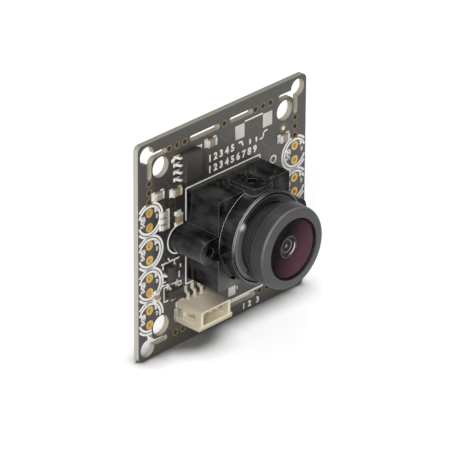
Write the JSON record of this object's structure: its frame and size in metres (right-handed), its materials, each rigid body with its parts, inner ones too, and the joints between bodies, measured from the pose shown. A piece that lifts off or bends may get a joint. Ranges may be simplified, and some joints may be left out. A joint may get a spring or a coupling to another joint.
{
  "type": "board camera module",
  "caption": "Square circuit board with a threaded focusing lens in a black holder, a small cable header and snap-off mounting rim.",
  "frame": {"origin": "centre of the four corner fixing holes, on the board's front face", "axes": "the lens looks along -Y, +Z is the picture's up and +X is the right-hand edge of the board seen from the lens side"},
  "size_m": [0.038, 0.0191, 0.038],
  "materials": {
    "board_laminate": "glass-fibre laminate under dark solder mask",
    "gold_plating": "thin gold plating, satin",
    "tin_plating": "bright tin and solder",
    "holder_plastic": "glossy black moulding",
    "screw_steel": "blackened steel",
    "barrel_metal": "matte black anodising",
    "ring_plastic": "smooth black plastic",
    "front_glass": "coated glass with violet reflections",
    "baffle_coating": "dark anodising seen burgundy through the coated glass",
    "clear_glass": "clear coated glass",
    "filter_glass": "infrared-cut coating",
    "sensor_ceramic": "dark ceramic",
    "silicon": "polished silicon",
    "connector_plastic": "ivory moulding",
    "chip_epoxy": "matte moulded epoxy",
    "capacitor_ceramic": "tan ceramic",
    "resistor_coating": "dark glazed coating",
    "crystal_metal": "plated lid on ceramic",
    "ferrite": "dark grey ferrite",
    "tantalum_epoxy": "ochre moulded epoxy"
  },
  "bodies": {
    "module": {"circuit_board": "board_laminate", "lamp_pads": "gold_plating", "tinned_pads": "tin_plating", "lens_holder": "holder_plastic", "holder_screws": "screw_steel", "lens_lock_screw": "screw_steel", "infrared_filter": "filter_glass", "sensor_package": "sensor_ceramic", "sensor_die": "silicon", "sensor_window": "clear_glass", "connector_housing": "connector_plastic", "connector_pins": "gold_plating", "connector_tabs": "tin_plating", "memory_chip": "chip_epoxy", "memory_leads": "tin_plating", "regulator_chips": "chip_epoxy", "regulator_leads": "tin_plating", "processor_chip": "chip_epoxy", "processor_leads": "tin_plating", "chip_capacitors": "capacitor_ceramic", "chip_resistors": "resistor_coating", "chip_terminals": "tin_plating", "crystal": "crystal_metal", "power_inductor": "ferrite", "tantalum_capacitors": "tantalum_epoxy", "tantalum_terminals": "tin_plating"},
    "lens_glass": {"front_element": "front_glass", "lens_baffle": "baffle_coating", "second_element": "clear_glass", "spacer_ring": "barrel_metal", "aperture_stop": "barrel_metal", "middle_element": "clear_glass", "rear_element": "clear_glass"},
    "lens_barrel": {"lens_barrel": "barrel_metal", "front_bezel": "barrel_metal", "lock_ring": "ring_plastic"}
  },
  "joints": [
    {"name": "focus_travel", "type": "slide", "parent": "module", "child": "lens_glass", "axis": [0, -1, 0], "range_m": [-0.00013, 0.001]},
    {"name": "focus_turn", "type": "hinge", "parent": "lens_glass", "child": "lens_barrel", "pos_m": [0, -0.01, 0], "axis": [0, -1, 0], "range_deg": [-90, 720]}
  ],
  "couplings": [
    {"joint": "focus_travel", "follows": "focus_turn", "m_per_rad": 0.000079577}
  ]
}
